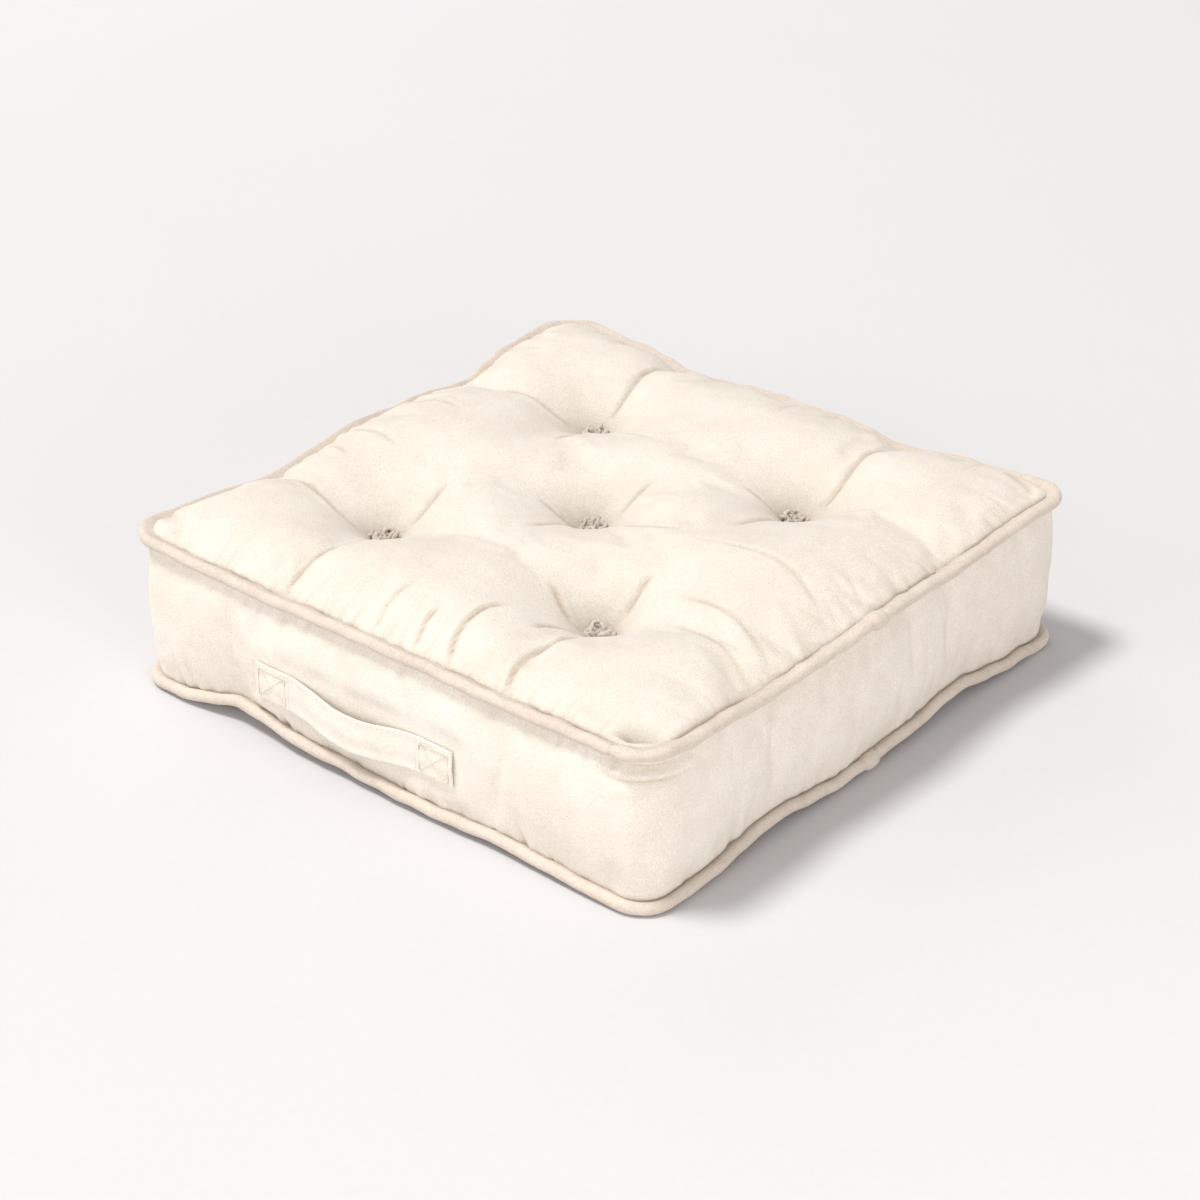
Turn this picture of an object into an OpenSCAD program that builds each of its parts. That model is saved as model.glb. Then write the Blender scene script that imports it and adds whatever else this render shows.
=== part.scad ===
// Tufted box floor cushion with piped seams and a carrying strap.
// Millimetres. +Z is up, the origin is on the floor under the middle of the cushion,
// and the face that carries the strap looks along -Y.

/* [Cushion] */
// Distance between the piping centres, side to side along X
cushion_w = 488; // [440:1:620]
// Distance between the piping centres, front to back along Y
cushion_d = 488; // [440:1:620]
// Height between the centres of the two rings of piping
boxing_h = 119; // [95:1:160]
// Corner radius of the piping's centre line
corner_r = 24; // [20:1:45]
// How far the boxing bellies out between its two seams
wall_bulge = 5; // [3:0.5:9]
// Thickness of the velour with its backing
cloth_t = 1.6; // [1.2:0.1:2]

/* [Panels] */
// Height of the stuffed top above its seam
top_crown = 17; // [12:1:21]
// Radius with which a panel rolls over towards its seam
edge_roll_r = 70; // [60:1:76]

/* [Piping] */
// Outside diameter of the piping
piping_d = 10; // [9:0.5:13]
// Width of the seam allowance behind the piping
lip_w = 12; // [8:0.5:13]
// Thickness of the seam allowance, two layers of the piping's bias strip
lip_t = 1.6; // [1:0.1:2.4]
// Diameter of the sewing thread
thread_d = 0.8; // [0.5:0.1:1]

/* [Tufts] */
// Spacing of the four outer tufts along X
tuft_pitch_x = 215; // [190:1:240]
// Spacing of the four outer tufts along Y
tuft_pitch_y = 215; // [190:1:240]
// Radius of the dimple that a tuft pulls into a panel
dimple_r = 66; // [50:1:68]
// Radius of the flat floor of a dimple
dimple_floor_r = 11; // [10:0.5:14]
// Depth of a dimple in the top panel
top_dimple_depth = 38; // [24:1:46]
// Depth of a dimple in the bottom panel
bottom_dimple_depth = 20; // [14:1:28]
// Diameter of the tufting twine
twine_d = 2; // [1.5:0.1:2.4]
// Length of a tuft's bundle of cotton
tuft_len = 19; // [15:0.5:20]
// Diameter of a tuft's bundle at its ends
tuft_end_d = 9; // [7:0.5:9]
// Diameter of a tuft's bundle at its tied waist
tuft_waist_d = 5; // [4:0.5:5.5]

/* [Strap] */
// Length of the strap from end to end
strap_len = 190; // [150:1:220]
// Width of the strap
strap_w = 29; // [24:1:36]
// Thickness of the strap, cloth folded over on itself
strap_t = 2.5; // [2:0.1:3]
// Length of each sewn-down end of the strap
strap_end_len = 33; // [26:1:38]
// Height of the strap's middle line at its sewn ends
strap_z = 50.5; // [46:0.5:58]
// Distance of the strap's middle from the cushion's middle, along X
strap_x = -22; // [-30:1:30]
// How far the free strap stands off the boxing at its middle
strap_stand_off = 9; // [8:0.5:14]
// How far the free strap sags at its middle
strap_sag = 7; // [3:0.5:8]
// Distance of the stitching from the edges of the sewn ends
stitch_inset = 3.2; // [2:0.1:4]

/* [Fits] */
// Gap between cloth layers and what lies against them
lay_gap = 0.1; // [0.05:0.01:0.2]
// Gap between the filling and its cover
fill_gap = 0.2; // [0.1:0.05:0.4]
// Gap around the twine where it passes through cloth and filling
twine_gap = 0.15; // [0.1:0.05:0.3]
// Gap between the moving strap and everything that stays still
swing_gap = 0.4; // [0.3:0.1:0.6]

/* [Hidden] */
$fn = 96;

// Tufts are tied by hand: name, corner signs, drift from the true grid, turn of the bundle
TUFTS = [
    ["centre", [0, 0], [-6, -5], 20],
    ["front", [1, -1], [-8, -12], 5],
    ["right", [1, 1], [-5, -6], 55],
    ["back", [-1, 1], [4, 8], -20],
    ["left", [-1, -1], [-6, -6], 35],
];

piping_r = piping_d / 2;
cord_d = piping_d - 2 * cloth_t - 2 * lay_gap;

// The seam line runs just inside the piping, and everything is laid out from it
seam_to_piping = piping_r + lay_gap;
seam_x = cushion_w / 2 - seam_to_piping;
seam_y = cushion_d / 2 - seam_to_piping;
seam_r = corner_r - seam_to_piping;
bottom_seam_z = piping_r;
top_seam_z = bottom_seam_z + boxing_h;
mid_z = (bottom_seam_z + top_seam_z) / 2;
top_panel_z = top_seam_z + lip_t / 2;
bottom_panel_z = bottom_seam_z - lip_t / 2;

// The boxing is an arc of a large circle between its two seams
wall_h = boxing_h - lip_t;
wall_r = (pow(wall_h / 2, 2) + pow(wall_bulge, 2)) / (2 * wall_bulge);

top_z = top_panel_z + top_crown;
bottom_crown = bottom_panel_z;
tuft_top_z = top_z - top_dimple_depth + tuft_end_d / 2;
tuft_bottom_z = bottom_dimple_depth - tuft_end_d / 2;
twine_spread = tuft_waist_d / 2 + lay_gap + twine_d / 2;

strap_free_len = strap_len - 2 * strap_end_len;
strap_wall_y = seam_y + wall_bulge;
strap_back_y = strap_wall_y + swing_gap;
strap_low_z = strap_z - strap_w / 2;
strap_steps = 28;
roll_steps = 8;

// A plain length that passes right through anything it cuts
through = 2 * max(cushion_w, cushion_d);

function tuft_xy(t) = [
    t[1][0] * tuft_pitch_x / 2 + t[2][0],
    t[1][1] * tuft_pitch_y / 2 + t[2][1],
];

// ---- building blocks ----

// Plan of the cushion at the seam line, drawn in by inset
module plan(inset) {
    x = seam_x - seam_r;
    y = seam_y - seam_r;
    r = seam_r - inset;
    square([2 * x, 2 * (y + r)], center = true);
    square([2 * (x + r), 2 * y], center = true);
    for (sx = [-1, 1], sy = [-1, 1]) translate([sx * x, sy * y]) circle(r);
}

// One side of the square: 2D x points outwards from the seam line and 2D y points up
module side(i) {
    length = 2 * (i % 2 == 0 ? seam_x - seam_r : seam_y - seam_r);
    offset_out = i % 2 == 0 ? seam_y : seam_x;
    rotate(90 * i) translate([-length / 2, offset_out, 0])
        rotate([90, 0, 90]) linear_extrude(length) children();
}

// The corner after side i, going round towards side i + 1
module corner(i) {
    sx = (i == 0 || i == 1) ? -1 : 1;
    sy = (i == 0 || i == 3) ? 1 : -1;
    translate([sx * (seam_x - seam_r), sy * (seam_y - seam_r), 0])
        rotate(90 * (i + 1)) rotate_extrude(angle = 90) translate([seam_r, 0]) children();
}

module all_round() {
    for (i = [0:3]) {
        side(i) children();
        corner(i) children();
    }
}

// The region inside the boxing's curve, drawn in by inset, between two heights
module wall_section(inset, low, high) {
    intersection() {
        translate([wall_bulge - wall_r, mid_z]) circle(wall_r - inset);
        translate([-seam_r / 2, low]) square([seam_r / 2 + 2 * wall_bulge + strap_t, high - low]);
    }
}

module boxing_section() {
    difference() {
        wall_section(0, bottom_seam_z + lip_t / 2, top_seam_z - lip_t / 2);
        wall_section(cloth_t, bottom_seam_z, top_seam_z);
    }
}

// Cross-section of a stuffed panel: flat, with both edges rolled down to the seam
module rolled_section(half, crown, inset, foot) {
    reach = sqrt(pow(edge_roll_r, 2) - pow(edge_roll_r - crown, 2));
    sweep = asin(reach / edge_roll_r);
    r = edge_roll_r - inset;
    roll = [for (k = [0:roll_steps]) let (a = sweep * k / roll_steps)
        [half - reach + r * sin(a), crown - edge_roll_r + r * cos(a)]];
    right = concat(roll, [[roll[roll_steps][0], -foot]]);
    left = [for (k = [roll_steps + 1:-1:0]) [-right[k][0], right[k][1]]];
    polygon(concat(right, left));
}

// A stuffed panel as a solid block above z = 0, reaching foot below it
module panel_block(crown, inset, foot) {
    intersection() {
        translate([0, 0, -foot]) linear_extrude(crown + foot) plan(inset);
        translate([0, through / 2, 0]) rotate([90, 0, 0])
            linear_extrude(through) rolled_section(seam_x, crown, inset, foot);
        translate([-through / 2, 0, 0]) rotate([90, 0, 90])
            linear_extrude(through) rolled_section(seam_y, crown, inset, foot);
    }
}

// Half section of the hollow over a tuft: the cloth turns over in one arc, down to a flat
// floor at -depth
module dimple_section(depth, inset, headroom) {
    run = dimple_r - dimple_floor_r;
    turn_r = (run * run + depth * depth) / (2 * depth);
    difference() {
        translate([0, -depth - inset]) square([dimple_r, depth + inset + headroom]);
        translate([dimple_r, -turn_r]) circle(turn_r - inset);
    }
}

module dimple(depth, inset) {
    rotate_extrude() dimple_section(depth, inset, cloth_t);
}

// The cloth that lines a dimple
module dimple_cup(depth) {
    rotate_extrude() difference() {
        dimple_section(depth, cloth_t, 0);
        dimple_section(depth, 0, cloth_t);
    }
}

module at_tufts() {
    for (t = TUFTS) translate(tuft_xy(t)) children();
}

module twine_holes() {
    for (t = TUFTS) translate(tuft_xy(t)) rotate(t[3] + 90) for (s = [-1, 1])
        translate([s * twine_spread, 0, -through / 2])
            cylinder(h = through, d = twine_d + 2 * twine_gap);
}

// A stuffed panel's cloth: a shell with a round opening at each tuft, lined by a cup
module panel_sheet(crown, depth) {
    difference() {
        union() {
            difference() {
                panel_block(crown, 0, cloth_t);
                panel_block(crown, cloth_t, 2 * cloth_t);
                translate([0, 0, -through / 2]) cube(through, center = true);
                at_tufts() cylinder(h = through, r = dimple_r, center = true);
            }
            translate([0, 0, crown]) at_tufts() dimple_cup(depth);
        }
        twine_holes();
    }
}

// ---- cover ----

module top_panel() {
    color("ivory") translate([0, 0, top_panel_z]) panel_sheet(top_crown, top_dimple_depth);
}

module bottom_panel() {
    color("ivory") translate([0, 0, bottom_panel_z]) mirror([0, 0, 1])
        panel_sheet(bottom_crown, bottom_dimple_depth);
}

// Boxing strip in two lengths, joined behind the left and right corners
module boxing_front_right() {
    color("antiquewhite") {
        for (i = [2, 3]) side(i) boxing_section();
        for (i = [1, 2, 3]) corner(i) boxing_section();
    }
}

module boxing_back_left() {
    color("antiquewhite") {
        for (i = [0, 1]) side(i) boxing_section();
        corner(0) boxing_section();
    }
}

// ---- piping ----

module piping_cover_section() {
    translate([seam_to_piping, 0]) difference() {
        circle(piping_r);
        circle(piping_r - cloth_t);
    }
    translate([-lip_w, -lip_t / 2]) square([lip_w + lay_gap + cloth_t / 2, lip_t]);
}

module piping_cover(z) {
    color("linen") translate([0, 0, z]) all_round() piping_cover_section();
}

module piping_cord(z) {
    color("white") translate([0, 0, z]) all_round()
        translate([seam_to_piping, 0]) circle(d = cord_d);
}

// Run of sewing thread under the seam allowance
module seam_thread(z, up) {
    color("wheat") translate([0, 0, z]) all_round()
        translate([-lip_w / 2, up * (lip_t + thread_d) / 2]) circle(d = thread_d);
}

// ---- inside ----

module seam_slot(z, up) {
    thread_room = thread_d + fill_gap;
    low = -lip_t / 2 - (up < 0 ? thread_room : fill_gap);
    high = lip_t / 2 + (up > 0 ? thread_room : fill_gap);
    translate([0, 0, z]) all_round() translate([-lip_w - fill_gap, low])
        square([lip_w + fill_gap + cloth_t, high - low]);
}

module fibre_filling() {
    inset = cloth_t + fill_gap;
    overlap = 5;
    color("snow") difference() {
        union() {
            translate([0, 0, bottom_seam_z]) linear_extrude(boxing_h) plan(inset);
            all_round() wall_section(inset, bottom_seam_z + inset, top_seam_z - inset);
            translate([0, 0, top_panel_z]) panel_block(top_crown, inset, overlap);
            translate([0, 0, bottom_panel_z]) mirror([0, 0, 1])
                panel_block(bottom_crown, inset, overlap);
        }
        translate([0, 0, top_z]) at_tufts() dimple(top_dimple_depth, inset);
        mirror([0, 0, 1]) at_tufts() dimple(bottom_dimple_depth, inset);
        seam_slot(top_seam_z, -1);
        seam_slot(bottom_seam_z, 1);
        twine_holes();
    }
}

// ---- tufts ----

// Bundle of cotton strands drawn in at its waist, lying along X
module tuft_bundle() {
    throat_r = (pow(tuft_len / 2, 2) + pow((tuft_end_d - tuft_waist_d) / 2, 2))
        / (tuft_end_d - tuft_waist_d);
    rotate([0, 90, 0]) rotate_extrude() difference() {
        translate([0, -tuft_len / 2]) square([tuft_end_d / 2, tuft_len]);
        translate([tuft_waist_d / 2 + throat_r, 0]) circle(throat_r);
    }
}

module tuft(i, z) {
    t = TUFTS[i];
    color("cornsilk") translate([tuft_xy(t)[0], tuft_xy(t)[1], z]) rotate(t[3]) tuft_bundle();
}

// Closed loop of twine that ties the upper and the lower bundle to each other
module twine(i) {
    t = TUFTS[i];
    color("beige") translate(tuft_xy(t)) rotate(t[3] + 90) {
        for (s = [-1, 1]) translate([s * twine_spread, 0, tuft_bottom_z])
            cylinder(h = tuft_top_z - tuft_bottom_z, d = twine_d);
        translate([0, 0, tuft_top_z]) rotate([90, 0, 0])
            rotate_extrude(angle = 180) translate([twine_spread, 0]) circle(d = twine_d);
        translate([0, 0, tuft_bottom_z]) rotate([-90, 0, 0])
            rotate_extrude(angle = 180) translate([twine_spread, 0]) circle(d = twine_d);
    }
}

// ---- strap ----

// A layer on the outside of the front boxing, from x0 to x1, between two heights
module on_front(x0, x1, under, thickness, low, high) {
    translate([x0, 0, 0]) mirror([0, 1, 0]) translate([0, seam_y, 0])
        rotate([90, 0, 90]) linear_extrude(x1 - x0) difference() {
            wall_section(-under - thickness, low, high);
            wall_section(-under, low - 1, high + 1);
        }
}

function strap_end_x(s) = strap_x + s * (strap_len - strap_end_len) / 2;

module strap_end(s) {
    x = strap_end_x(s);
    half = strap_end_len / 2;
    color("ivory") on_front(x - half, x + half, lay_gap, strap_t, strap_low_z,
        strap_low_z + strap_w);
}

// Rectangle of stitches with a cross in it, seen from the front
module box_cross_pattern() {
    w = strap_end_len - 2 * stitch_inset;
    h = strap_w - 2 * stitch_inset;
    difference() {
        square([w, h], center = true);
        square([w - 2 * thread_d, h - 2 * thread_d], center = true);
    }
    for (s = [-1, 1]) rotate(s * atan2(h - thread_d, w - thread_d))
        square([norm([w, h]) - 2 * thread_d, thread_d], center = true);
}

module strap_stitching(s) {
    x = strap_end_x(s);
    half = strap_end_len / 2;
    color("wheat") intersection() {
        on_front(x - half, x + half, lay_gap + strap_t, thread_d / 2, strap_low_z,
            strap_low_z + strap_w);
        translate([x, 0, strap_z]) rotate([90, 0, 0]) linear_extrude(through) box_cross_pattern();
    }
}

// The free strap, swept along its sag and its stand-off from one sewn end to the other
function strap_swell(u) = pow(1 - u * u, 2);

function strap_ring(k) =
    let (
        u = 2 * k / strap_steps - 1,
        x = strap_x + u * (strap_free_len / 2 - swing_gap),
        back = -strap_back_y - strap_stand_off * strap_swell(u),
        low = strap_low_z - strap_sag * strap_swell(u)
    )
    [[x, back, low], [x, back, low + strap_w], [x, back - strap_t, low + strap_w],
     [x, back - strap_t, low]];

module strap_loop() {
    points = [for (k = [0:strap_steps]) each strap_ring(k)];
    last = 4 * strap_steps;
    walls = [for (k = [0:strap_steps - 1], j = [0:3])
        [4 * k + j, 4 * k + (j + 1) % 4, 4 * k + 4 + (j + 1) % 4, 4 * k + 4 + j]];
    color("ivory") polyhedron(points,
        concat([[3, 2, 1, 0]], walls, [[last, last + 1, last + 2, last + 3]]));
}

top_panel();
bottom_panel();
boxing_front_right();
boxing_back_left();
piping_cover(top_seam_z);  // top_piping_cover
piping_cover(bottom_seam_z);  // bottom_piping_cover
piping_cord(top_seam_z);  // top_piping_cord
piping_cord(bottom_seam_z);  // bottom_piping_cord
seam_thread(top_seam_z, -1);  // top_seam_thread
seam_thread(bottom_seam_z, 1);  // bottom_seam_thread
fibre_filling();
twine(0);  // twine_centre
twine(1);  // twine_front
twine(2);  // twine_right
twine(3);  // twine_back
twine(4);  // twine_left
tuft(0, tuft_top_z);  // top_tuft_centre
tuft(1, tuft_top_z);  // top_tuft_front
tuft(2, tuft_top_z);  // top_tuft_right
tuft(3, tuft_top_z);  // top_tuft_back
tuft(4, tuft_top_z);  // top_tuft_left
tuft(0, tuft_bottom_z);  // bottom_tuft_centre
tuft(1, tuft_bottom_z);  // bottom_tuft_front
tuft(2, tuft_bottom_z);  // bottom_tuft_right
tuft(3, tuft_bottom_z);  // bottom_tuft_back
tuft(4, tuft_bottom_z);  // bottom_tuft_left
strap_end(-1);  // strap_end_left
strap_end(1);  // strap_end_right
strap_stitching(-1);  // strap_stitching_left
strap_stitching(1);  // strap_stitching_right
strap_loop();
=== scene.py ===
# %% [markdown]
# # A tufted floor cushion, made from its cloth pieces
# The cushion is a square top and bottom panel joined by an upright band of cloth, the boxing. Fat
# piping runs round both seams, five cotton tufts pull the top down into the filling, and a cloth
# strap is sewn flat to one side. Each cell makes one of these pieces, over the measured CAD model.

# %% Load the measured model
import math
import bpy
import numpy as np
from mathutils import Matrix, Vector


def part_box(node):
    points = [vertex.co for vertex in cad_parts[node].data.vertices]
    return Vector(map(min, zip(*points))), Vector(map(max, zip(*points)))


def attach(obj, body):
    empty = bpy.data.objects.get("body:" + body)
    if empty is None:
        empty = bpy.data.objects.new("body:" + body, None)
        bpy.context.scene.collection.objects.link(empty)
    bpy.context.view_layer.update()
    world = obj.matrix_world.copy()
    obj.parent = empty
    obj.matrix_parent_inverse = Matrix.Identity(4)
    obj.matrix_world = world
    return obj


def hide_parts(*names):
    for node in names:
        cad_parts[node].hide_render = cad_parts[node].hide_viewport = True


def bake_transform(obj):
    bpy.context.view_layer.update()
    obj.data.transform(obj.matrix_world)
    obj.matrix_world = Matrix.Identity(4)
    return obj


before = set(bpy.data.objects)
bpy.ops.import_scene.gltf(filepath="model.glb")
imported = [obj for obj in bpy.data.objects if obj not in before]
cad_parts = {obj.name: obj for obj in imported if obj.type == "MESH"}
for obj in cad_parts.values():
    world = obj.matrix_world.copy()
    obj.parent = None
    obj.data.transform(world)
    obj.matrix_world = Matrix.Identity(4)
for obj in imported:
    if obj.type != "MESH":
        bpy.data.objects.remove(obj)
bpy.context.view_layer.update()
scene = bpy.context.scene
rng = np.random.default_rng(11)

# %% [markdown]
# ## The sizes that everything follows
# The seams are where the panels, the boxing and the piping are stitched together, so they are the
# lines to work from. They are taken from the CAD boxes, and nothing is typed in twice. A cushion
# maker marks the same lines on the cloth with chalk before cutting.

# %% Read the sizes
piping_low, piping_high = [np.array(p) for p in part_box("top_piping_cover")]
piping_r = (piping_high[2] - piping_low[2]) / 2
roll_r = piping_r * 0.94
seam_half = piping_high[0] - 2 * piping_r
top_z = (piping_high[2] + piping_low[2]) / 2
base_low, base_high = [np.array(p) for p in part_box("bottom_piping_cover")]
base_z = (base_high[2] + base_low[2]) / 2
wall_low = np.array(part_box("boxing_front_right")[0])
TUFT_NAMES = ["centre", "front", "right", "back", "left"]


def middle(node):
    """The middle of a CAD node's box."""
    low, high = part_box(node)
    return (np.array(low) + np.array(high)) / 2


top_tufts = [middle("top_tuft_" + n) for n in TUFT_NAMES]
base_tufts = [middle("bottom_tuft_" + n) for n in TUFT_NAMES]
print("seam half width", round(seam_half, 4), "heights", round(top_z, 4), round(base_z, 4))

# %% [markdown]
# ## Small helpers
# Vertices are read and written as whole arrays, because a sewn surface is easier to shape by
# a rule than one point at a time. The selecting and deleting is done with the same edit-mode
# commands a person would use.


# %% Helpers for meshes
def points_of(obj):
    """The vertices of a mesh as an array."""
    co = np.empty(len(obj.data.vertices) * 3)
    obj.data.vertices.foreach_get("co", co)
    return co.reshape(-1, 3)


def put_points(obj, co):
    """Moves the vertices of a mesh."""
    obj.data.vertices.foreach_set("co", np.ascontiguousarray(co, dtype=float).ravel())
    obj.data.update()


def normals_of(obj):
    """The vertex normals of a mesh as an array."""
    n = np.empty(len(obj.data.vertices) * 3)
    obj.data.vertices.foreach_get("normal", n)
    return n.reshape(-1, 3)


def pick(obj):
    """Selects one object, and nothing else."""
    bpy.ops.object.select_all(action="DESELECT")
    obj.select_set(True)
    bpy.context.view_layer.objects.active = obj


def apply_modifier(obj, kind, **settings):
    """Adds a modifier with these settings and applies it."""
    pick(obj)
    md = obj.modifiers.new(kind.lower(), kind)
    for key, value in settings.items():
        setattr(md, key, value)
    bpy.ops.object.modifier_apply(modifier=md.name)


def subdivide(obj, levels=1):
    """Smooth subdivision, applied."""
    apply_modifier(obj, "SUBSURF", levels=levels, render_levels=levels)


def smooth(obj):
    """Smooth shading."""
    pick(obj)
    bpy.ops.object.shade_smooth()


def outward(obj):
    """Turns the faces to look outwards."""
    pick(obj)
    bpy.ops.object.mode_set(mode="EDIT")
    bpy.ops.mesh.select_all(action="SELECT")
    bpy.ops.mesh.normals_make_consistent(inside=False)
    bpy.ops.object.mode_set(mode="OBJECT")


def copy_of(obj, name):
    """A copy of a mesh object under a new name."""
    pick(obj)
    bpy.ops.object.duplicate()
    new = bpy.context.object
    new.name = name
    new.data.name = name
    return new


def delete_faces(obj, chosen):
    """Deletes the faces where chosen is true, and the points that nothing uses any more."""
    pick(obj)
    bpy.ops.object.mode_set(mode="EDIT")
    bpy.ops.mesh.select_mode(type="FACE")
    bpy.ops.mesh.select_all(action="DESELECT")
    bpy.ops.object.mode_set(mode="OBJECT")
    obj.data.polygons.foreach_set("select", np.asarray(chosen, dtype=bool))
    bpy.ops.object.mode_set(mode="EDIT")
    bpy.ops.mesh.delete(type="FACE")
    bpy.ops.object.mode_set(mode="OBJECT")


def ease(t):
    """A smooth step from 0 to 1."""
    t = np.clip(t, 0, 1)
    return t * t * (3 - 2 * t)


def triangles(obj):
    """How many triangles a mesh comes to."""
    return sum(len(p.vertices) - 2 for p in obj.data.polygons)


print("helpers ready")

# %% [markdown]
# ## Camera, floor and light
# A pale studio floor and one broad light high on the left show soft cloth best: the light skims
# over the bulges, and the far side falls into a soft shadow. The rest of the light comes from
# all round, as it does in a white room.


# %% Camera, floor and light
def aim(obj, at):
    """Turns a lamp or camera to look at a point."""
    toward = Vector(at) - obj.location
    obj.rotation_euler = toward.to_track_quat("-Z", "Y").to_euler()


bpy.ops.object.camera_add()
camera = bpy.context.object
camera.name = "studio_camera"
camera_az = math.radians(40.13)
camera_el = math.radians(29.39)
camera_target = Vector((0.0111, -0.0156, 0.062))
camera_way = Vector((math.sin(camera_az) * math.cos(camera_el),
                     -math.cos(camera_az) * math.cos(camera_el), math.sin(camera_el)))
camera.location = camera_target + camera_way * 2.2245
aim(camera, camera_target)
camera.data.lens = 90
camera.data.sensor_width = 36
camera.data.clip_end = 50
scene.camera = camera

bpy.ops.mesh.primitive_grid_add(x_subdivisions=8, y_subdivisions=8, size=14)
floor = bpy.context.object
floor.name = "studio_floor"

bpy.ops.object.light_add(type="SUN", location=(-0.72, -0.62, 2.3))
key_light = bpy.context.object
key_light.name = "key_light"
key_light.data.energy = 2.6
key_light.data.angle = math.radians(14)
key_light.data.color = (1.0, 0.985, 0.965)
aim(key_light, (0, 0, 0))

bpy.ops.object.light_add(type="AREA", location=(-2.6, 1.3, 1.7))
left_light = bpy.context.object
left_light.name = "left_light"
left_light.data.energy = 16
left_light.data.size = 2.0
aim(left_light, (0, 0, 0.1))

bpy.ops.object.light_add(type="AREA", location=(-1.0, -2.6, 0.9))
front_light = bpy.context.object
front_light.name = "front_light"
front_light.data.energy = 33
front_light.data.size = 2.2
front_light.data.color = (1.0, 0.985, 0.96)
aim(front_light, (0, 0, 0.1))

bpy.ops.object.light_add(type="AREA", location=(2.7, -1.1, 0.6))
right_light = bpy.context.object
right_light.name = "right_light"
right_light.data.energy = 47
right_light.data.size = 1.6
right_light.data.color = (1.0, 0.98, 0.95)
aim(right_light, (0, 0, 0.08))

world = bpy.data.worlds.new("studio_world")
scene.world = world
world.use_nodes = True
world.node_tree.nodes["Background"].inputs["Color"].default_value = (1.0, 0.978, 0.982, 1)
world.node_tree.nodes["Background"].inputs["Strength"].default_value = 0.52
scene.view_settings.view_transform = "Standard"
scene.view_settings.look = "None"
print("camera", [round(c, 3) for c in camera.location])

# %% [markdown]
# ## The look of the cloth
# Velour has a short dense pile. Stroked one way it looks paler, and the other way darker, so big
# soft clouds lie over a very fine grain. Both are made once, in a node group, and each material
# places the group with its own sizes and its own two colours.


# %% Node groups for cloth
def add_node(tree, kind, at, **values):
    """A node, with its settings and the values of its sockets."""
    node = tree.nodes.new(kind)
    node.location = at
    for key, value in values.items():
        if hasattr(node, key):
            setattr(node, key, value)
        else:
            node.inputs[key.replace("_", " ")].default_value = value
    return node


def new_group(name, ins, outs):
    """An empty node group with number sockets."""
    group = bpy.data.node_groups.new(name, "ShaderNodeTree")
    for label, value in ins:
        socket = group.interface.new_socket(label, in_out="INPUT", socket_type="NodeSocketFloat")
        socket.default_value = value
    for label in outs:
        group.interface.new_socket(label, in_out="OUTPUT", socket_type="NodeSocketFloat")
    first = group.nodes.new("NodeGroupInput")
    first.location = (-900, 0)
    last = group.nodes.new("NodeGroupOutput")
    last.location = (700, 0)
    return group, first, last


def pile_group():
    """Velour pile: soft clouds where the pile leans, a fine grain, and a height for the bump."""
    group, first, last = new_group(
        "velour_pile", [("Cloud Scale", 14.0), ("Grain Scale", 900.0), ("Stroke Scale", 60.0)],
        ["Cloud", "Grain", "Height"])
    place = add_node(group, "ShaderNodeTexCoord", (-900, 300))
    cloud = add_node(group, "ShaderNodeTexNoise", (-600, 300), Detail=3.0, Roughness=0.6)
    stroke = add_node(group, "ShaderNodeTexNoise", (-600, 60), Detail=4.0, Roughness=0.65)
    grain = add_node(group, "ShaderNodeTexNoise", (-600, -200), Detail=3.0, Roughness=0.7)
    for node, label in ((cloud, "Cloud Scale"), (stroke, "Stroke Scale"), (grain, "Grain Scale")):
        group.links.new(place.outputs["Object"], node.inputs["Vector"])
        group.links.new(first.outputs[label], node.inputs["Scale"])
    both = add_node(group, "ShaderNodeMix", (-350, 200), data_type="FLOAT")
    both.inputs["Factor"].default_value = 0.42
    group.links.new(cloud.outputs["Fac"], both.inputs["A"])
    group.links.new(stroke.outputs["Fac"], both.inputs["B"])
    spread = add_node(group, "ShaderNodeMapRange", (-120, 200))
    spread.inputs["From Min"].default_value = 0.36
    spread.inputs["From Max"].default_value = 0.64
    group.links.new(both.outputs["Result"], spread.inputs["Value"])
    sharp = add_node(group, "ShaderNodeMapRange", (-120, -100))
    sharp.inputs["From Min"].default_value = 0.3
    sharp.inputs["From Max"].default_value = 0.7
    group.links.new(grain.outputs["Fac"], sharp.inputs["Value"])
    height = add_node(group, "ShaderNodeMath", (200, -100), operation="MULTIPLY_ADD")
    height.inputs[1].default_value = 0.35
    group.links.new(stroke.outputs["Fac"], height.inputs[0])
    group.links.new(sharp.outputs["Result"], height.inputs[2])
    group.links.new(spread.outputs["Result"], last.inputs["Cloud"])
    group.links.new(sharp.outputs["Result"], last.inputs["Grain"])
    group.links.new(height.outputs["Value"], last.inputs["Height"])
    return group


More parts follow.
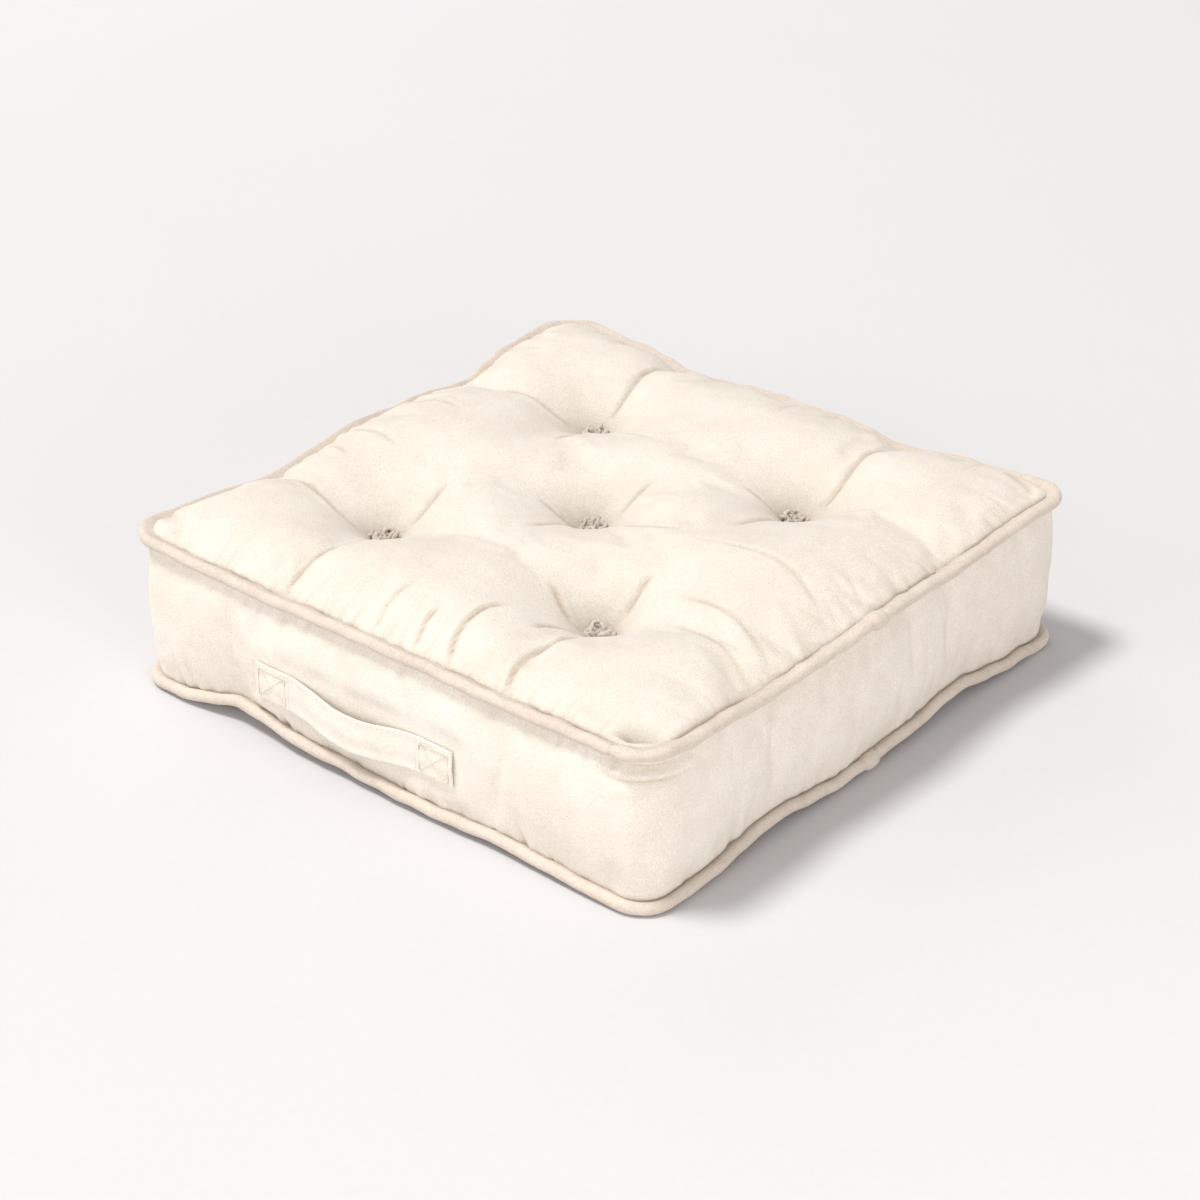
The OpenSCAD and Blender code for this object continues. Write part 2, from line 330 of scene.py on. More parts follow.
def twist_group():
    """Twisted yarn: slanting bands along the UV of a tube, with a fibre noise over them."""
    group, first, last = new_group(
        "twisted_yarn", [("Turns", 200.0), ("Fibre Scale", 1500.0)], ["Shade", "Height"])
    place = add_node(group, "ShaderNodeTexCoord", (-1100, 300))
    apart = add_node(group, "ShaderNodeSeparateXYZ", (-850, 300))
    group.links.new(place.outputs["UV"], apart.inputs["Vector"])
    along = add_node(group, "ShaderNodeMath", (-650, 350), operation="MULTIPLY_ADD")
    group.links.new(apart.outputs["X"], along.inputs[0])
    group.links.new(first.outputs["Turns"], along.inputs[1])
    group.links.new(apart.outputs["Y"], along.inputs[2])
    wave = add_node(group, "ShaderNodeMath", (-450, 350), operation="PINGPONG")
    wave.inputs[1].default_value = 0.5
    group.links.new(along.outputs["Value"], wave.inputs[0])
    fibre = add_node(group, "ShaderNodeTexNoise", (-450, 0), Detail=2.0)
    group.links.new(place.outputs["Object"], fibre.inputs["Vector"])
    group.links.new(first.outputs["Fibre Scale"], fibre.inputs["Scale"])
    total = add_node(group, "ShaderNodeMath", (-200, 200), operation="MULTIPLY_ADD")
    total.inputs[1].default_value = 1.5
    group.links.new(wave.outputs["Value"], total.inputs[0])
    half = add_node(group, "ShaderNodeMath", (-200, 0), operation="MULTIPLY")
    half.inputs[1].default_value = 0.4
    group.links.new(fibre.outputs["Fac"], half.inputs[0])
    group.links.new(half.outputs["Value"], total.inputs[2])
    group.links.new(total.outputs["Value"], last.inputs["Height"])
    group.links.new(total.outputs["Value"], last.inputs["Shade"])
    return group


PILE = pile_group()
TWIST = twist_group()
print("node groups:", PILE.name, TWIST.name)


# %% [markdown]
# ## The materials
# Every cloth here is undyed cotton in nearly the same cream. The boxing and the strap are a little
# paler than the panels, as painted light on the upright sides, and the piping a little browner,
# partly its own colour and partly painted shade. Creases, gathers, the seams, the corner tuck and
# the dimples round the tufts get painted shade: each cloth reads the fold attribute made further
# down and darkens its colour there.

# %% Materials
def cloth_material(name, pale, deep, cloud=14.0, grain=750.0, stroke=60.0, sheen=0.25, bump=0.45,
                   depth=0.0006):
    """Velour in two close colours, mixed by the pile group."""
    mat = bpy.data.materials.new(name)
    mat.use_nodes = True
    tree = mat.node_tree
    shader = tree.nodes["Principled BSDF"]
    pile = add_node(tree, "ShaderNodeGroup", (-900, 0))
    pile.node_tree = PILE
    pile.inputs["Cloud Scale"].default_value = cloud
    pile.inputs["Grain Scale"].default_value = grain
    pile.inputs["Stroke Scale"].default_value = stroke
    lean = add_node(tree, "ShaderNodeMix", (-600, 200), data_type="RGBA")
    lean.inputs["A"].default_value = (*deep, 1)
    lean.inputs["B"].default_value = (*pale, 1)
    tree.links.new(pile.outputs["Cloud"], lean.inputs["Factor"])
    # Painted shade: the fold attribute mixes the colour towards a deeper tan in creases, gathers,
    # along the seams, in the corner tuck and round the tufts.
    fold = add_node(tree, "ShaderNodeAttribute", (-900, 400), attribute_name="fold")
    painted_shade_mix = add_node(tree, "ShaderNodeMix", (-600, 450), data_type="RGBA")
    painted_shade_mix.inputs["B"].default_value = (deep[0] * 0.74, deep[1] * 0.66, deep[2] * 0.58, 1)
    tree.links.new(fold.outputs["Fac"], painted_shade_mix.inputs["Factor"])
    tree.links.new(lean.outputs["Result"], painted_shade_mix.inputs["A"])
    speck = add_node(tree, "ShaderNodeMix", (-350, 200), data_type="RGBA", blend_type="MULTIPLY")
    speck.inputs["Factor"].default_value = 0.22
    tree.links.new(painted_shade_mix.outputs["Result"], speck.inputs["A"])
    tree.links.new(pile.outputs["Grain"], speck.inputs["B"])
    tree.links.new(speck.outputs["Result"], shader.inputs["Base Color"])
    rough = add_node(tree, "ShaderNodeMapRange", (-350, -100))
    rough.inputs["To Min"].default_value = 0.95
    rough.inputs["To Max"].default_value = 0.8
    tree.links.new(pile.outputs["Cloud"], rough.inputs["Value"])
    tree.links.new(rough.outputs["Result"], shader.inputs["Roughness"])
    relief = add_node(tree, "ShaderNodeBump", (-350, -350))
    relief.inputs["Strength"].default_value = bump
    relief.inputs["Distance"].default_value = depth
    tree.links.new(pile.outputs["Height"], relief.inputs["Height"])
    tree.links.new(relief.outputs["Normal"], shader.inputs["Normal"])
    shader.inputs["Sheen Weight"].default_value = sheen
    shader.inputs["Sheen Roughness"].default_value = 0.45
    shader.inputs["Sheen Tint"].default_value = (1.0, 0.97, 0.93, 1)
    shader.inputs["Specular IOR Level"].default_value = 0.2
    return mat


def yarn_material(name, pale, deep, turns, depth=0.0004):
    """Twisted thread, cord or twine."""
    mat = bpy.data.materials.new(name)
    mat.use_nodes = True
    tree = mat.node_tree
    shader = tree.nodes["Principled BSDF"]
    yarn = add_node(tree, "ShaderNodeGroup", (-800, 0))
    yarn.node_tree = TWIST
    yarn.inputs["Turns"].default_value = turns
    tint = add_node(tree, "ShaderNodeMix", (-500, 200), data_type="RGBA")
    tint.inputs["A"].default_value = (*deep, 1)
    tint.inputs["B"].default_value = (*pale, 1)
    tree.links.new(yarn.outputs["Shade"], tint.inputs["Factor"])
    tree.links.new(tint.outputs["Result"], shader.inputs["Base Color"])
    relief = add_node(tree, "ShaderNodeBump", (-300, -200))
    relief.inputs["Strength"].default_value = 0.6
    relief.inputs["Distance"].default_value = depth
    tree.links.new(yarn.outputs["Height"], relief.inputs["Height"])
    tree.links.new(relief.outputs["Normal"], shader.inputs["Normal"])
    shader.inputs["Roughness"].default_value = 0.85
    shader.inputs["Sheen Weight"].default_value = 0.15
    return mat


velour = cloth_material("cream_velour", (0.78, 0.725, 0.645), (0.715, 0.65, 0.565))
# Painted light: the boxing cloth is painted paler than the panels, standing in for light on the
# upright sides.
velour_band = cloth_material("cream_velour_boxing", (0.86, 0.80, 0.715), (0.79, 0.72, 0.63),
                             cloud=11.0, stroke=45.0)
# Partly painted shade: the piping is painted browner than the panels, partly its own colour and
# partly shade where it faces away from the light.
piping_velour = cloth_material("cream_velour_piping", (0.72, 0.635, 0.55), (0.64, 0.55, 0.465),
                               cloud=35.0, stroke=160.0, sheen=0.25, bump=0.5)
# Painted light: the strap is painted paler, like the boxing that it lies on.
strap_velour = cloth_material("cream_velour_strap", (0.87, 0.81, 0.725), (0.81, 0.745, 0.655),
                              cloud=22.0, stroke=90.0)
cotton = cloth_material("tuft_cotton_fibre", (0.95, 0.87, 0.78), (0.84, 0.74, 0.63), cloud=160.0,
                        grain=2600.0, stroke=700.0, sheen=0.1, bump=0.8)
wadding = cloth_material("white_fibre_wadding", (0.90, 0.90, 0.88), (0.80, 0.80, 0.78), cloud=30.0,
                         grain=700.0, stroke=220.0, sheen=0.2, bump=0.9, depth=0.002)
thread = yarn_material("cream_thread", (0.90, 0.82, 0.72), (0.76, 0.68, 0.57), 900.0, 0.0002)
cord_cotton = yarn_material("piping_cord_cotton", (0.86, 0.83, 0.76), (0.68, 0.64, 0.56), 260.0)
twine_cotton = yarn_material("tufting_twine_cotton", (0.82, 0.75, 0.63), (0.60, 0.52, 0.40), 60.0)
floor_paint = cloth_material("studio_floor_paint", (0.60, 0.592, 0.60), (0.593, 0.585, 0.593),
                             cloud=1.2, grain=160.0, stroke=6.0, sheen=0.0, bump=0.05, depth=0.0004)
floor_paint.node_tree.nodes["Mix.002"].inputs["Factor"].default_value = 0.02


def paint(obj, mat):
    """Gives a mesh one material."""
    obj.data.materials.clear()
    obj.data.materials.append(mat)


paint(floor, floor_paint)
print("materials:", len(bpy.data.materials))

# %% [markdown]
# ## The two seam lines
# A stuffed cushion is never a true square. At each tuft the twine pulls the edge in and down,
# and between them it springs back. These lists say how far the seam is drawn in and how far it
# drops along each side, in millimetres. Every piece that meets a seam uses the same line.

# %% Seam lines
CORNER_R = {"left": 0.022, "front": 0.022, "right": 0.012, "back": 0.034}
TOP_WAVE = {
    "front": [(-1, -1, -1), (-0.78, 1, 2), (-0.5, 5, 7), (-0.15, 3, 4), (0.2, 3, 4), (0.48, 4, 6),
              (0.8, 1, 2), (1, 0, 0)],
    "right": [(-1, 0, 0), (-0.75, 0, 3), (-0.48, 2, 8), (-0.25, 0, 5), (0.0, -1, 2), (0.25, 2, 4),
              (0.44, 4, 7), (0.7, 1, 1), (1, -1, -2)],
    "back": [(-1, -2, -4), (-0.7, 0, 1), (-0.43, 6, 6), (-0.1, 2, 2), (0.2, 2, 2), (0.44, 5, 6),
             (0.7, 0, 1), (1, -1, -2)],
    "left": [(-1, -1, -1), (-0.75, 2, 3), (-0.47, 7, 7), (-0.05, 2, 1), (0.2, 3, 3), (0.48, 7, 7),
             (0.75, 0, -1), (1, -2, -4)],
}
BASE_WAVE = {
    "front": [(-1, 0, 0), (-0.85, 0, -2), (-0.6, 6, -11), (-0.3, 1, -6), (0.2, 0, -3),
              (0.48, 2, -4), (0.8, 0, -2), (1, 0, 0)],
    "right": [(-1, 0, 0), (-0.8, 0, -1), (-0.45, 4, -6), (-0.1, 0, -2), (0.2, 1, -4),
              (0.5, 4, -8), (0.8, 0, -2), (1, 0, 0)],
    "back": [(-1, 0, 0), (-0.45, 5, -8), (0, 0, -3), (0.44, 5, -8), (1, 0, 0)],
    "left": [(-1, 0, 0), (-0.47, 5, -8), (0.05, 0, -3), (0.48, 5, -8), (1, 0, 0)],
}


def read_wave(marks, t):
    """Draw-in and drop at the places t along a side, eased between the marks, in metres."""
    marks = np.array(marks, float)
    i = np.clip(np.searchsorted(marks[:, 0], t, side="right") - 1, 0, len(marks) - 2)
    part = ease((t - marks[i, 0]) / (marks[i + 1, 0] - marks[i, 0]))
    both = marks[i, 1:] * (1 - part)[:, None] + marks[i + 1, 1:] * part[:, None]
    return both[:, 0] / 1000, both[:, 1] / 1000


def seam_line(u, v, waves, height):
    """The seam over the points (u, v) of the edge of a square that runs from -1 to 1."""
    on_x = np.abs(u) >= np.abs(v)
    along = np.where(on_x, v, u)
    side = np.where(on_x, np.sign(u), np.sign(v))
    half_turn = np.where(along < 0, -1, 1)
    sx = np.where(on_x, side, half_turn)
    sy = np.where(on_x, half_turn, side)
    r = np.where(sx < 0, np.where(sy < 0, CORNER_R["left"], CORNER_R["back"]),
                 np.where(sy < 0, CORNER_R["front"], CORNER_R["right"]))
    from_corner = (1 - np.abs(along)) * seam_half
    arc = r * math.pi / 4
    turn = math.pi / 4 * (1 - np.clip(from_corner / arc, 0, 1))
    straight = (seam_half - r) * (seam_half - from_corner) / (seam_half - arc)
    bent = from_corner < arc
    far = np.where(bent, seam_half - r + r * np.cos(turn), seam_half)
    run = np.where(bent, seam_half - r + r * np.sin(turn), straight)
    place = np.where(on_x, np.where(side > 0, 1, 3), np.where(side > 0, 2, 0))
    z = np.full(len(u), float(height))
    for number, name in enumerate(("front", "right", "back", "left")):
        here = place == number
        if here.any():
            draw, drop = read_wave(waves[name], along[here])
            far[here] -= draw
            z[here] -= drop
    x = np.where(on_x, side * far, half_turn * run)
    y = np.where(on_x, half_turn * run, side * far)
    return np.column_stack([x, y, z])


def around(count):
    """Points evenly round the edge of the square, counter-clockwise from its front corner."""
    s = np.arange(count) / count * 4
    side = s.astype(int)
    t = (s - side) * 2 - 1
    u = np.select([side == 0, side == 1, side == 2], [np.ones(count), -t, -np.ones(count)], t)
    v = np.select([side == 0, side == 1, side == 2], [t, np.ones(count), -t], -np.ones(count))
    return u, v


check_u, check_v = around(8)
print("seam corners", seam_line(check_u, check_v, TOP_WAVE, top_z)[:3].round(3).tolist())

# %% [markdown]
# ## The cover: top panel and boxing
# The top is a grid. The boxing is a second, long grid, wrapped round the edge of the first and
# sewn to it point by point, so both are cut from one net and meet exactly at the seam. The
# points always come in the same order, and so the cloth settles in the same way every time.

# %% Top grid and wrapped border
CELLS = 100
ROWS = 22
bpy.ops.mesh.primitive_grid_add(x_subdivisions=CELLS, y_subdivisions=CELLS, size=2)
cover = bpy.context.object
cover.name = "cover_net"
bpy.ops.mesh.primitive_grid_add(x_subdivisions=4 * CELLS, y_subdivisions=ROWS, size=2)
border = bpy.context.object
strip = points_of(border)
lap = np.round((strip[:, 0] + 1) * 2 * CELLS).astype(int) % (4 * CELLS)
lap_u, lap_v = around(4 * CELLS)
put_points(border, np.column_stack([lap_u[lap], lap_v[lap], (strip[:, 1] - 1) / 2 * ROWS]))
pick(cover)
border.select_set(True)
bpy.ops.object.join()
bpy.ops.object.mode_set(mode="EDIT")
bpy.ops.mesh.select_mode(type="VERT")
bpy.ops.mesh.select_all(action="SELECT")
bpy.ops.mesh.remove_doubles(threshold=0.002)
bpy.ops.object.mode_set(mode="OBJECT")
net = points_of(cover)
row_of = np.round(-net[:, 2]).astype(int)
square = net[:, :2].copy()
reach = np.abs(square).max(axis=1)
edge_of = square / np.maximum(reach, 1e-9)[:, None]
on_top = row_of == 0
print("cover net:", len(net), "points,", len(cover.data.polygons), "faces")

# %% [markdown]
# ## The shape before it is stuffed
# The top rises from its edge in a quick roll and is then nearly level. Every tuft draws it down,
# and valleys join tuft to tuft. All of this is only a start: the cloth settles on its own after.

# %% Stuffed start shape
EDGE_ROLL = 0.062
CROWN = 0.0155
top_ring = seam_line(edge_of[:, 0], edge_of[:, 1], TOP_WAVE, top_z)
base_ring = seam_line(edge_of[:, 0], edge_of[:, 1], BASE_WAVE, base_z)
pull = (reach ** 4)[:, None]
flat_top = np.column_stack([square * seam_half, np.full(len(net), top_z)])
ring_top = np.column_stack([top_ring[:, :2] * reach[:, None], top_ring[:, 2]])
shape = flat_top * (1 - pull) + ring_top * pull
down = (row_of / ROWS)[:, None]
out_way = np.where(np.abs(edge_of) > 0.999, edge_of, edge_of * np.abs(edge_of) ** 6)
out_way = out_way / np.maximum(np.linalg.norm(out_way, axis=1), 1e-9)[:, None]
wall = top_ring * (1 - down) + base_ring * down
wall[:, :2] += out_way * 0.006 * np.sin(math.pi * down) ** 0.6
shape[~on_top] = wall[~on_top]


def rounded(marks):
    """A line of marks with its corners cut off three times, so that it curves."""
    for _ in range(3):
        first = marks[:-1] * 0.75 + marks[1:] * 0.25
        second = marks[:-1] * 0.25 + marks[1:] * 0.75
        inner = np.stack([first, second], axis=1).reshape(-1, 2)[1:-1]
        marks = np.vstack([marks[:1], inner, marks[-1:]])
    return marks


def line_press(xy, line):
    """Distance of each point from a line of marks in millimetres, its side, and how far along."""
    marks = rounded(np.array(line, float) / 1000) if len(line) > 2 else np.array(line) / 1000
    lengths = np.linalg.norm(np.diff(marks, axis=0), axis=1)
    total = lengths.sum()
    best = np.full(len(xy), 9.0)
    side = np.zeros(len(xy))
    along = np.zeros(len(xy))
    done = 0.0
    for a, b, size in zip(marks[:-1], marks[1:], lengths):
        way = (b - a) / size
        gone = np.clip((xy - a) @ way, 0, size)
        off = xy - a - gone[:, None] * way
        dist = np.linalg.norm(off, axis=1)
        nearer = dist < best
        best = np.where(nearer, dist, best)
        side = np.where(nearer, off @ np.array([-way[1], way[0]]), side)
        along = np.where(nearer, (done + gone) / total, along)
        done += size
    return best, side, along


def roll(distance):
    """How high the crown has risen at this distance from the edge, from 0 to 1."""
    part = np.clip(distance / EDGE_ROLL, 0, 1)
    return np.sqrt(np.clip(1 - (1 - part) ** 2.4, 0, 1))


VALLEYS = [
    ([(114, -245), (106, -190), (99, -120), (98, -10), (102, 101), (107, 175), (115, 240)], 5),
    ([(-93, -245), (-100, -195), (-113, -114), (-107, -20), (-103, 115), (-115, 184),
      (-105, 240)], 5),
    ([(-240, -118), (-178, -119), (-113, -114), (-20, -112), (99, -120), (186, -106),
      (245, -125)], 5),
    ([(-238, 92), (-158, 98), (-103, 115), (0, 106), (102, 101), (180, 113), (240, 108)], 5),
    ([(-6, -5), (-45, -18), (-90, -15)], 5),
    ([(-6, -5), (4, 45), (8, 90)], 5),
    ([(-6, -5), (-9, -60), (-6, -100)], 4),
    ([(-6, -5), (40, -6), (85, -4)], 4),
]
x, y = shape[:, 0], shape[:, 1]
lift = CROWN * roll(seam_half - np.abs(x)) * roll(seam_half - np.abs(y))
tuft_near = np.full(len(net), 9.0)
for spot in top_tufts:
    tuft_near = np.minimum(tuft_near, np.hypot(x - spot[0], y - spot[1]))
for line, depth in VALLEYS:
    dist, _, _ = line_press(shape[:, :2], line)
    near = 0.45 + 0.55 * np.exp(-(tuft_near / 0.06) ** 2)
    edge = 0.5 * np.exp(-((seam_half - np.abs(shape[:, :2]).max(axis=1)) / 0.05) ** 2)
    lift -= depth / 1000 * np.exp(-(dist / 0.019) ** 2) * (near + edge)
shape[on_top, 2] += lift[on_top] * np.clip((1 - reach[on_top]) / 0.02, 0, 1)
tied = np.zeros(len(net), bool)
for spot in top_tufts:
    dist = np.hypot(x - spot[0], y - spot[1])
    grip = np.exp(-(dist / 0.026) ** 1.25)
    tie_z = spot[2] - 0.005
    shape[on_top, 2] = (shape[:, 2] * (1 - grip) + tie_z * grip)[on_top]
    knot = on_top & (dist < 0.0055)
    shape[knot, 2] = tie_z
    tied |= knot
ripple = np.zeros(len(net))
for _ in range(24):
    wave_way = rng.uniform(-90, 90, 2)
    ripple += rng.uniform(-1, 1) * np.sin(shape[:, :2] @ wave_way + rng.uniform(0, 6))
shape[on_top & ~tied, 2] += 0.0003 * (ripple * np.clip((1 - reach) / 0.05, 0, 1))[on_top & ~tied]
put_points(cover, shape)
print("start height", round(shape[:, 2].max(), 4))

# %% [markdown]
# ## Stuffing it
# Now the cloth is blown up from inside, with the seams and the tufts held. The cloth is given
# a little more length than the shape needs, most of it along the edge of the top, so it gathers
# in soft folds there as stitched cloth does. Gravity is left out: the filling carries the cloth.

# %% Cloth under pressure
held = on_top & (reach > 0.9999)
held |= row_of == ROWS
held |= tied
group_held = cover.vertex_groups.new(name="held")
group_held.add([int(i) for i in np.where(held)[0]], 1.0, "REPLACE")
group_snug = cover.vertex_groups.new(name="snug")
snug = np.where(on_top, 0.5 - 0.5 * reach ** 6, 0.45)
for index, value in enumerate(snug):
    group_snug.add([index], float(value), "REPLACE")
pick(cover)
stuffing = cover.modifiers.new("stuffing", "CLOTH")
cloth = stuffing.settings
cloth.vertex_group_mass = "held"
cloth.vertex_group_shrink = "snug"
cloth.shrink_min = -0.022
cloth.shrink_max = 0.0
cloth.use_pressure = True
cloth.uniform_pressure_force = 4
cloth.mass = 0.05
cloth.quality = 5
cloth.air_damping = 1
cloth.tension_stiffness = 15
cloth.compression_stiffness = 15
cloth.shear_stiffness = 6
cloth.bending_model = "ANGULAR"
cloth.bending_stiffness = 0.02
cloth.tension_damping = 2
cloth.compression_damping = 2
cloth.shear_damping = 2
cloth.bending_damping = 0.5
cloth.effector_weights.gravity = 0
stuffing.collision_settings.use_collision = False
stuffing.point_cache.frame_start = 1
stuffing.point_cache.frame_end = 20
for moment in range(1, 21):
    scene.frame_set(moment)
bpy.ops.object.modifier_apply(modifier="stuffing")
scene.frame_set(1)
stuffed = points_of(cover)
step = stuffed - shape
length = np.linalg.norm(step, axis=1)
most = 0.012
stuffed = shape + step * np.minimum(1, most / np.maximum(length, 1e-9))[:, None]
put_points(cover, stuffed)
print("stuffed height", round(stuffed[:, 2].max(), 4), "furthest move", round(length.max(), 4))

# %% [markdown]
# ## The bottom panel's shape
# The bottom lies flat on the floor and lifts a little at its tufts. Where the seam rises off
# the floor, the cloth curves down from it. Its grid has the same border as the cover, so the
# two can be sewn, and the filling can be made from both.


# %% Bottom grid
bpy.ops.mesh.primitive_grid_add(x_subdivisions=CELLS, y_subdivisions=CELLS, size=2)
under = bpy.context.object
under.name = "under_net"
low_net = points_of(under)
low_square = low_net[:, :2].copy()
low_reach = np.abs(low_square).max(axis=1)
low_edge = low_square / np.maximum(low_reach, 1e-9)[:, None]
low_ring = seam_line(low_edge[:, 0], low_edge[:, 1], BASE_WAVE, base_z)
low_pull = (low_reach ** 4)[:, None]
low_shape = np.column_stack([low_square * seam_half, np.zeros(len(low_net))])
low_shape[:, :2] = (low_shape[:, :2] * (1 - low_pull)
                    + low_ring[:, :2] * low_reach[:, None] * low_pull)
sink = ease((1 - low_reach) / 0.13)
low_shape[:, 2] = low_ring[:, 2] * (1 - sink) + 0.0008 * sink
for spot in base_tufts:
    dist = np.hypot(low_shape[:, 0] - spot[0], low_shape[:, 1] - spot[1])
    rise = np.exp(-(dist / 0.026) ** 1.3)
    low_shape[:, 2] = low_shape[:, 2] * (1 - rise) + (spot[2] + 0.003) * rise
low_ripple = np.zeros(len(low_net))
for _ in range(16):
    low_ripple += np.sin(low_shape[:, :2] @ rng.uniform(-120, 120, 2) + rng.uniform(0, 6))
low_shape[:, 2] += 0.00012 * np.abs(low_ripple) * sink
put_points(under, low_shape)
pick(under)
bpy.ops.object.mode_set(mode="EDIT")
bpy.ops.mesh.select_all(action="SELECT")
bpy.ops.mesh.flip_normals()
bpy.ops.object.mode_set(mode="OBJECT")
print("bottom height", low_shape[:, 2].min().round(4), low_shape[:, 2].max().round(4))

# %% [markdown]
# ## The filling
# Inside the cover is a block of loose polyester fibre, which takes the cover's shape. A copy of
# the cover and of the bottom is joined at the seam and drawn in by a little more than the
# thickness of the cloth, so it never shows through.

# %% Filling
filling = copy_of(cover, "filling_of_fibre")
filling.vertex_groups.clear()
other = copy_of(under, "filling_bottom")
pick(filling)
other.select_set(True)
bpy.ops.object.join()
bpy.ops.object.mode_set(mode="EDIT")
bpy.ops.mesh.select_mode(type="VERT")
bpy.ops.mesh.select_all(action="SELECT")
bpy.ops.mesh.remove_doubles(threshold=0.0002)
bpy.ops.mesh.normals_make_consistent(inside=False)
bpy.ops.transform.shrink_fatten(value=-0.0065)
bpy.ops.object.mode_set(mode="OBJECT")
fill_co = points_of(filling)
from_tuck = np.linalg.norm(fill_co[:, :2] - np.array([0.222, -0.224]), axis=1)
fill_co[:, 2] -= 0.016 * np.exp(-(from_tuck / 0.024) ** 2) * (fill_co[:, 2] > top_z - 0.03)
put_points(filling, fill_co)
print("filling:", len(fill_co), "points, lowest", round(fill_co[:, 2].min(), 4))
smooth(filling)
paint(filling, wadding)

# %% [markdown]
# ## Creases and gathers
# The folds that the eye notices are finer than the cloth net can form, so they are pressed in
# after one more subdivision: long creases that run from the tufts, short gathers that stand
# square to the piping, and soft upright wrinkles in the boxing.


# %% Press the creases
subdivide(cover)
put = points_of(cover)
nrm = normals_of(cover)
deep_side = put[:, 2] > top_z - 0.004
deep_side_all = np.maximum(np.abs(put[:, 0]), np.abs(put[:, 1])) < seam_half - 0.01
half_x, half_y = np.abs(put[:, 0]), np.abs(put[:, 1])
# each: marks in millimetres, depth in millimetres, width in millimetres, side of the ridge
CREASES = [
    ([(99, -128), (96, -142), (86, -158), (84, -180)], 3.2, 5, 1),
    ([(94, -122), (82, -130), (66, -124), (46, -112)], 3.4, 5, -1),
    ([(104, -112), (104, -91), (98, -58)], 2.6, 8, 1),
    ([(114, -236), (106, -222), (105, -196), (112, -172), (108, -146)], 3.2, 4.5, 1),
    ([(63, -236), (52, -218), (49, -186), (57, -160)], 3.0, 4.5, 1),
    ([(30, -234), (23, -214), (24, -198)], 2.2, 4, 1),
    ([(-93, -236), (-100, -222), (-99, -184), (-92, -158), (-108, -122)], 2.6, 4.5, -1),
    ([(-118, -118), (-134, -132), (-178, -121), (-205, -122)], 2.6, 5, 1),
    ([(-110, -106), (-98, -92), (-107, -49)], 2.4, 8, 1),
    ([(-8, -8), (-22, -22), (-46, -20)], 3.2, 5, -1),
    ([(-4, -1), (8, 14), (6, 54)], 3.2, 6, -1),
    ([(-6, -12), (-8, -40), (-12, -72)], 2.4, 8, 1),
    ([(0, -6), (30, -16), (84, -6)], 2.2, 8, -1),
    ([(99, 104), (88, 92), (60, 90)], 3.0, 6, 1),
    ([(106, 108), (118, 126), (107, 175), (114, 212)], 3.0, 8, 1),
    ([(104, 96), (106, 70), (104, 17)], 2.4, 8, -1),
    ([(-103, 121), (-104, 146), (-115, 186), (-108, 218)], 3.4, 7, -1),
    ([(-110, 114), (-128, 100), (-160, 102), (-196, 88)], 3.0, 7, 1),
    ([(-100, 108), (-88, 84), (-84, 40)], 2.6, 8, 1),
    ([(-97, 118), (-70, 104), (-33, 98)], 2.8, 7, -1),
    ([(136, -80), (180, -78), (222, -94), (240, -105)], 1.9, 4.5, 1),
    ([(150, -110), (188, -106), (228, -120), (240, -128)], 1.5, 5, 1),
    ([(110, -14), (155, -2), (202, -18), (238, -40)], 1.3, 7, 1),
    ([(205, 18), (236, 4)], 1.4, 4, 1),
    ([(-238, 30), (-200, 40), (-165, 30)], 1.4, 6, 1),
    ([(-238, -40), (-196, -34), (-160, -46)], 1.6, 7, 1),
    ([(-238, -78), (-205, -66), (-180, -80)], 1.4, 6, -1),
    ([(196, 232), (222, 230), (234, 214)], 2.0, 5, 1),
    ([(207, -233), (216, -229), (225, -222), (232, -214)], 3.4, 4, 1),
    ([(20, 238), (14, 205), (24, 180)], 1.2, 7, 1),
    ([(-8, -236), (-14, -206), (-8, -186)], 1.4, 5, 1),
]


def crease(move, line, depth, width, ridge):
    """A sharp fold along a line, with a ridge on one side of it, and painted shade along its
    trough.
    """
    dist, side, along = line_press(put[:, :2], line)
    fade = ease(along / 0.2) * ease((1 - along) / 0.3)
    fade = np.maximum(fade, 0.35 * ease((1 - along) / 0.3))
    w = 0.56 * width / 1000
    trough = np.exp(-(np.abs(dist) / (0.45 * w)) ** 1.3)
    # Painted shade: a thin darker line along the crease trough, for the colour to darken.
    trough_shade = np.exp(-(dist / 0.0021) ** 2) * fade * min(1.0, depth / 2.6)
    painted_shade[:] = np.maximum(painted_shade, 0.8 * trough_shade * deep_side)
    bank = np.exp(-((side * ridge - 1.25 * w) / (0.95 * w)) ** 2) * (dist < 4 * w)
    move += 0.95 * depth / 1000 * fade * (0.3 * bank - trough)


move = np.zeros(len(put))
painted_shade = np.zeros(len(put))
for line, depth, width, ridge in CREASES:
    crease(move, line, depth, width, ridge)
to_edge = seam_half - np.maximum(half_x, half_y)
move *= ease(to_edge / 0.006)
print("creases:", len(CREASES))

# %% [markdown]
# ## Gathers along the edge
# Where the panel is eased into the seam it puckers. The puckers are short, stand square to the
# piping and lean a little, each by a different amount.

